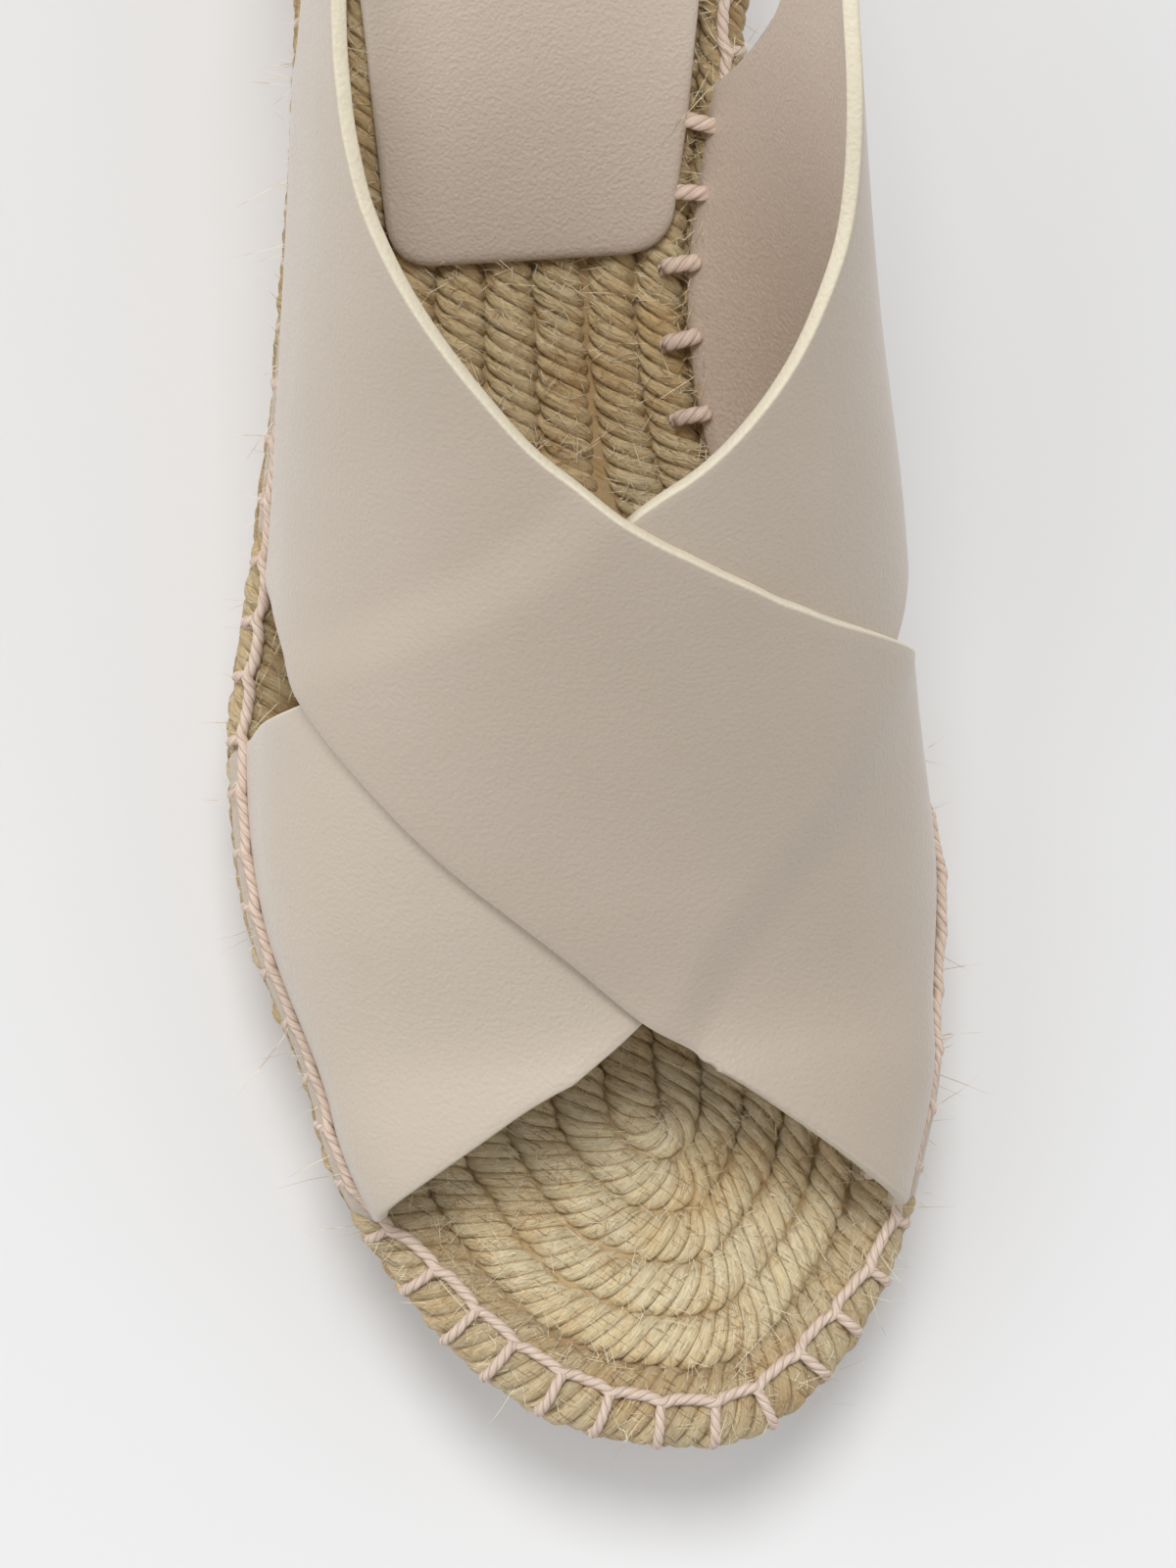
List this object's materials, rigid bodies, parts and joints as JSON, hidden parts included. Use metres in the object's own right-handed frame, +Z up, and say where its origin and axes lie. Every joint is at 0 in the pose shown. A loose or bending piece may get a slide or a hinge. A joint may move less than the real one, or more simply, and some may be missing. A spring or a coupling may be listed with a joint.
{
  "type": "wedge shoe",
  "caption": "Right wedge sandal with a coiled rope sole and one leather upper of two wide bands that cross over the forefoot and join as a sling behind the heel.",
  "frame": {"origin": "on the floor under the middle of the shoe's box", "axes": "+X is the inner (medial) side of the foot, +Y runs from the toe to the heel, +Z is up"},
  "size_m": [0.0902, 0.2452, 0.1198],
  "materials": {
    "upper_leather": "smooth matte stone-coloured leather with a raw cream cut edge",
    "pad_leather": "fine-grained taupe leather",
    "jute_bed": "coiled golden jute rope with stray fibres",
    "jute_side": "stacked rows of golden jute rope",
    "rubber": "matte natural rubber"
  },
  "bodies": {
    "root": {"outsole": "rubber", "wedge": "jute_side", "foot_bed": "jute_bed", "heel_pad": "pad_leather", "upper": "upper_leather"}
  },
  "joints": []
}
